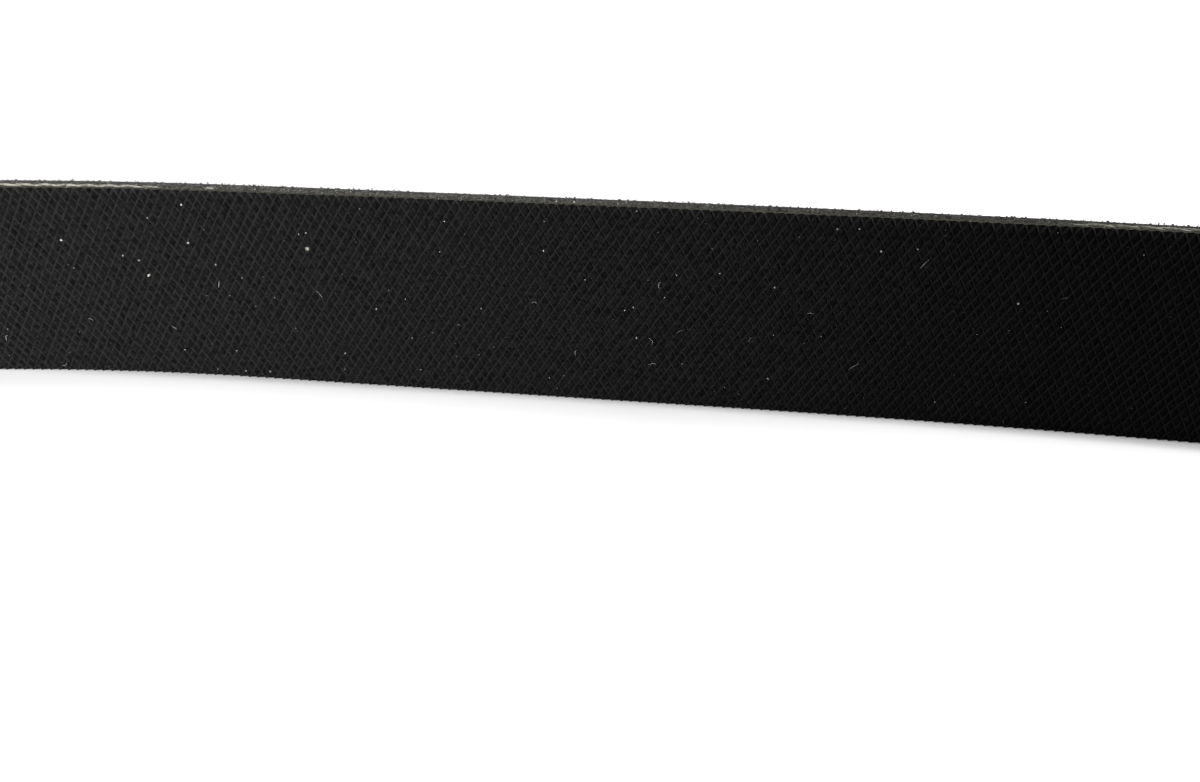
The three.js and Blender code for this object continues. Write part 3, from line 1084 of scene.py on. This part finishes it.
# Name, shapes, count, seed, places, turns, least and greatest size in mm, skew, finish
SCATTERED = [
    ("top_fibres", tuft_kinds, 3000, 11, torn_edge, standing, (0.12, 0.30), 2.0, torn_fibre),
    ("top_crumbs", grain_kinds, 4000, 13, torn_edge, any_way, (0.10, 0.28), 1.5, torn_fibre),
    ("back_dust", grain_kinds, 2600, 21, back, any_way, (0.035, 0.14), 3.0, dust_finish),
    ("edge_dust", grain_kinds, 1000, 22, top_edge, any_way, (0.04, 0.14), 2.0, dust_finish),
    ("bottom_dust", grain_kinds, 300, 23, bottom_edge, any_way, (0.04, 0.12), 2.0, dust_finish),
    ("back_lint", thread_kinds, 170, 31, back, flat_turn, (0.25, 0.9), 2.0, lint_finish),
    ("edge_lint", thread_kinds, 200, 32, top_edge, lying, (0.25, 0.8), 2.0, lint_finish),
]
loose_pieces = [scatter(*row) for row in SCATTERED]

# %% [markdown]
# ## Specks that the photo shows
# The largest specks and threads on the seen stretch are listed one by one. Each has a place in mm: the distance to
# the right of the camera's foot and the height above the lower edge. They are laid out flat and bent onto the belt
# like the rest.

# %% Specks and threads listed one by one
FOOT_ON_MIDDLE_RUN = 38 * MM
# Distance, height and size
SPECKS = [
    (-29.7, 15.7, 0.42), (-47.9, 13.7, 0.22), (-47.3, 12.0, 0.34), (-49.5, 14.2, 0.2), (-45.8, 18.4, 0.18),
    (-55.4, 15.8, 0.28), (-42.2, 15.8, 0.22), (-39.8, 13.5, 0.2), (-37.3, 12.1, 0.16), (-45.6, 3.1, 0.18),
    (-39.7, 3.3, 0.14), (-42.4, 0.8, 0.16), (-39.2, 0.8, 0.18), (-36.4, 0.9, 0.2), (-23.4, 9.3, 0.25),
    (-15.4, 19.2, 0.15), (-16.1, 16.0, 0.15), (-5.7, 16.6, 0.18), (-27.5, 3.8, 0.2), (-27.8, 1.8, 0.14),
    (-19.9, 6.1, 0.12), (-12.3, 10.0, 0.16), (-5.4, 2.3, 0.16), (-4.6, 1.1, 0.1), (11.6, 15.1, 0.16),
    (17.0, 13.9, 0.18), (3.3, 11.0, 0.18), (3.7, 7.6, 0.22), (39.9, 13.6, 0.28), (26.5, 18.1, 0.26),
    (29.8, 18.5, 0.18), (42.9, 3.1, 0.18), (49.7, 19.1, 0.16), (22.2, 20.1, 0.2), (24.2, 20.2, 0.17),
    (-29.6, 17.4, 0.2), (-41.9, 19.9, 0.24), (34.2, 2.4, 0.18), (17.3, 3.8, 0.22),
]
# Distance, height, length and slope in degrees
THREADS = [
    (-46.1, 5.8, 0.6, -40), (-55.2, 6.5, 0.6, -30), (-29.3, 10.7, 0.9, -55), (-6.8, 10.9, 0.6, 0),
    (5.9, 13.5, 0.8, 75), (5.1, 7.3, 0.8, -70), (5.4, 4.6, 0.9, 0), (15.2, 8.1, 0.6, 60), (20.7, 11.3, 0.6, 0),
    (25.7, 5.8, 1.2, 40), (30.7, 17.1, 1.2, 55), (43.9, 14.4, 0.6, 20),
]


def laid_flat():
    """One flat mesh with a copy of a shape for each speck and thread."""
    dice = random.Random("set by hand")
    verts, faces = [], []
    copies = [(grain_kinds, s, z, size, Matrix.Rotation(dice.uniform(0, 6), 4, (1, 2, 3)))
              for s, z, size in SPECKS]
    copies += [(thread_kinds, s, z, size, Matrix.Rotation(math.radians(-slope), 4, "Y"))
               for s, z, size, slope in THREADS]
    for kinds, s, z, size, turn in copies:
        shape = dice.choice(list(kinds.objects)).data
        place = Vector((FOOT_ON_MIDDLE_RUN + s * MM, 0, z * MM))
        faces += [tuple(len(verts) + i for i in face.vertices) for face in shape.polygons]
        verts += [place + size * MM * (turn @ vertex.co) for vertex in shape.vertices]
    mesh = bpy.data.meshes.new("flat_specks")
    mesh.from_pydata(verts, [], faces)
    return into_scene("flat_specks", mesh)


def make_laying_tree():
    tree, given, result = geometry_tree(
        "lay_on_belt", Path="Object", Flat="Object", Length="Float", Finish="Material")
    flat = add(tree, "GeometryNodeObjectInfo", {"Object": given["Flat"]}).outputs["Geometry"]
    flat = add(tree, "GeometryNodeSetMaterial", {"Geometry": flat, "Material": given["Finish"]}).outputs[0]
    tree.links.new(bend_in(tree, flat, given["Path"], given["Length"]), result["Geometry"])
    return tree


flat_specks = laid_flat()
loose_pieces.append(grow("large_specks", make_laying_tree(), Path=belt_path, Flat=flat_specks,
                         Length=BACK_LENGTH, Finish=dust_finish))
bpy.data.objects.remove(flat_specks)
for kinds in (grain_kinds, thread_kinds, tuft_kinds):
    for thing in list(kinds.objects):
        bpy.data.objects.remove(thing)
    bpy.data.collections.remove(kinds)

# %% [markdown]
# ## Faces outwards and open edges
# A welded mesh may still have a face that looks inwards. Each piece is passed once through bmesh, which turns all
# faces outwards, and the number of open edges is printed, because a closed piece has none. Shading is smooth
# inside a surface and breaks at sharp edges, so the ridges of the net stay crisp.

# %% Check and smooth
SHARP = math.radians(35)


def face_outwards(piece):
    mesh = bmesh.new()
    mesh.from_mesh(piece.data)
    bmesh.ops.recalc_face_normals(mesh, faces=mesh.faces)
    if mesh.calc_volume(signed=True) < 0:
        bmesh.ops.reverse_faces(mesh, faces=mesh.faces)
    open_edges = sum(len(edge.link_faces) != 2 for edge in mesh.edges)
    volume = mesh.calc_volume(signed=True)
    mesh.to_mesh(piece.data)
    mesh.free()
    piece.data.set_sharp_from_angle(angle=SHARP)
    print(piece.name, "open edges:", open_edges, "volume in mm3:", round(volume / MM**3))


pieces = [*back_pieces, ribbed_body, edge_cord, *loose_pieces]
for piece in pieces:
    face_outwards(piece)

# %% [markdown]
# ## The camera
# The camera stands close to the belt and looks down on it by 30 degrees, rolled by half a degree. Its place is
# counted from the belt: from a foot on the middle run, straight back by the viewing distance.

# %% Place the camera
IMAGE_WIDTH = 1200
FOCAL_PIXELS = 935.8
CAMERA_HEIGHT = 50.63 * MM
CAMERA_DISTANCE = 85.8 * MM
CAMERA_PITCH = math.radians(30)
CAMERA_YAW = math.radians(6.34)
CAMERA_ROLL = math.radians(0.494)
SENSOR_WIDTH = 36

ahead = Vector((-math.sin(CAMERA_YAW), math.cos(CAMERA_YAW), 0))
foot = walked[0][0] + to_frame + Vector((FOOT_ON_MIDDLE_RUN, 0))
camera_place = Vector((*foot, 0)) - CAMERA_DISTANCE * ahead + Vector((0, 0, CAMERA_HEIGHT))


def make_camera():
    data = bpy.data.cameras.new("camera")
    data.sensor_width = SENSOR_WIDTH
    data.sensor_fit = "HORIZONTAL"
    data.lens = FOCAL_PIXELS / IMAGE_WIDTH * SENSOR_WIDTH
    data.clip_start = 1 * MM
    camera = into_scene("camera", data)
    forward = ahead * math.cos(CAMERA_PITCH) - Vector((0, 0, math.sin(CAMERA_PITCH)))
    right = forward.cross(Vector((0, 0, 1))).normalized()
    up = right.cross(forward)
    rolled_right = right * math.cos(CAMERA_ROLL) + up * math.sin(CAMERA_ROLL)
    rolled_up = up * math.cos(CAMERA_ROLL) - right * math.sin(CAMERA_ROLL)
    turn = Matrix((rolled_right, rolled_up, -forward)).transposed().to_4x4()
    camera.matrix_world = Matrix.Translation(camera_place) @ turn
    return camera


bpy.context.scene.camera = make_camera()
print("lens in mm:", round(bpy.context.scene.camera.data.lens, 2))

# %% [markdown]
# ## Floor
# The belt stands on white. More light would turn the floor white, but the rubber grey as well. So the floor keeps
# a plain colour and glows for camera, glossy and transmission rays alone, and its own shading keeps the belt's
# shadow. The glow is weak at the belt's foot, where it would wash out the shadow, and stronger to the right, behind
# the belt and far off.

# %% Floor
FLOOR_SIZE = 6.0
FLOOR_TONE = 0.6
FLOOR_GLOW, RIGHT_GLOW, FAR_GLOW = 0.1, 0.26, 0.75
# Where each glow starts and where it is full, counted from the middle of the seen stretch
RIGHT_RISE = 5 * MM, 35 * MM
BEHIND_RISE = 8 * MM, 120 * MM
FAR_RISE = 110 * MM, 400 * MM


def ray_to(tree):
    """One for the rays that show the white background, and none for those that light the belt."""
    rays = add(tree, "ShaderNodeLightPath").outputs
    seen = maths(tree, "MAXIMUM", rays["Is Camera Ray"], rays["Is Transmission Ray"])
    return maths(tree, "MAXIMUM", seen, rays["Is Glossy Ray"])


def make_floor():
    bpy.ops.mesh.primitive_grid_add(x_subdivisions=8, y_subdivisions=8, size=FLOOR_SIZE)
    floor = bpy.context.object
    floor.name = "floor"
    material, tree, shader, place = new_material("white_floor", shine=0.0, roughness=1.0)
    shader.inputs["Base Color"].default_value = grey(FLOOR_TONE)
    shader.inputs["Emission Color"].default_value = grey(1.0)
    right, back, _ = parts_of(tree, place)
    near_glow = ramp(tree, right, *(foot.x + way for way in RIGHT_RISE), FLOOR_GLOW, RIGHT_GLOW)
    behind = ramp(tree, back, *(foot.y + way for way in BEHIND_RISE), near_glow, FAR_GLOW)
    away = vectors(tree, "DISTANCE", place, (*foot, 0))
    glow = maths(tree, "MAXIMUM", behind, ramp(tree, away, *FAR_RISE, near_glow, FAR_GLOW))
    tree.links.new(maths(tree, "MULTIPLY", ray_to(tree), glow), shader.inputs["Emission Strength"])
    floor.data.materials.append(material)
    return floor


floor = make_floor()
print("floor glow near, right, far:", FLOOR_GLOW, RIGHT_GLOW, FAR_GLOW)

# %% [markdown]
# ## Lamps and world
# The back goes from dark grey on the left to black on the right. A beam from the front right does that: it is aimed
# past the left end of the seen stretch, so the right end lies at its fading rim. Three lamps high above, of which
# two are small, light the cut edge and draw the narrow shadow at the belt's foot. The world adds soft light from
# behind the belt.

# %% Lamps
LEVEL_RIGHT = Vector((ahead.y, -ahead.x, 0))
STRAIGHT_UP = Vector((0, 0, 1))
face_middle = Vector((*foot, BELT_WIDTH / 2))


def beside(across, towards, height):
    """A place counted in mm from the middle of the seen stretch: to the right, to the camera and up."""
    return face_middle + (LEVEL_RIGHT * across - ahead * towards + STRAIGHT_UP * height) * MM


def hang_lamp(name, kind, place, target, watts, **settings):
    data = bpy.data.lights.new(name, kind)
    data.energy = watts
    for setting, value in settings.items():
        setattr(data, setting, value)
    lamp = into_scene(name, data)
    lamp.location = place
    lamp.rotation_euler = (target - place).to_track_quat("-Z", "Y").to_euler()


BEAM_PLACE, BEAM_TARGET = beside(60, 375, 85), beside(-185, 0, 0)
BEAM_REACH = 279 * MM
BEAM_RADIUS = 15 * MM
BEAM_WATTS = 20.0
beam_cone = 2 * math.atan(BEAM_REACH / (BEAM_TARGET - BEAM_PLACE).length)
hang_lamp("front_beam", "SPOT", BEAM_PLACE, BEAM_TARGET, BEAM_WATTS,
          spot_size=beam_cone, spot_blend=1.0, shadow_soft_size=BEAM_RADIUS)
# Name, place beside the seen stretch, width and watts
OVERHEAD_LAMPS = [
    ("small_overhead_lamp", (450, 38, 400), 32 * MM, 3.1),
    ("small_front_lamp", (150, 25, 400), 24 * MM, 0.5),
    ("broad_overhead_lamp", (-20, -38, 250), 80 * MM, 0.34),
]
for name, place, width, watts in OVERHEAD_LAMPS:
    hang_lamp(name, "AREA", beside(*place), face_middle, watts, shape="DISK", size=width)
print("beam's cone in degrees:", round(math.degrees(beam_cone), 1))

# %% World
BRIGHTEST_SIDE = Vector((-0.3, 0.85, 0.43))
BRIGHTEST_FROM = 0.9
DIMMEST, BRIGHTEST = 0.01, 0.28


def light_world():
    world = bpy.data.worlds.new("studio")
    bpy.context.scene.world = world
    world.use_nodes = True
    tree = world.node_tree
    direction = add(tree, "ShaderNodeTexCoord").outputs["Generated"]
    facing = vectors(tree, "DOT_PRODUCT", direction, BRIGHTEST_SIDE)
    level = ramp(tree, facing, 0.0, BRIGHTEST_FROM, DIMMEST, BRIGHTEST)
    seen = ray_to(tree)
    strength = maths(tree, "ADD", maths(tree, "MULTIPLY", level, maths(tree, "SUBTRACT", 1.0, seen)), seen)
    background = tree.nodes["Background"]
    background.inputs["Color"].default_value = grey(1.0)
    tree.links.new(strength, background.inputs["Strength"])


light_world()
bpy.context.scene.view_settings.view_transform = "Standard"

# %% [markdown]
# ## In place of the plain solid
# Each piece rides on the belt's one body and stands in for the plain solid.

# %% Ride and replace
import json

bpy.data.objects.remove(belt_path)
for piece in pieces:
    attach(piece, "root")
    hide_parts("belt")
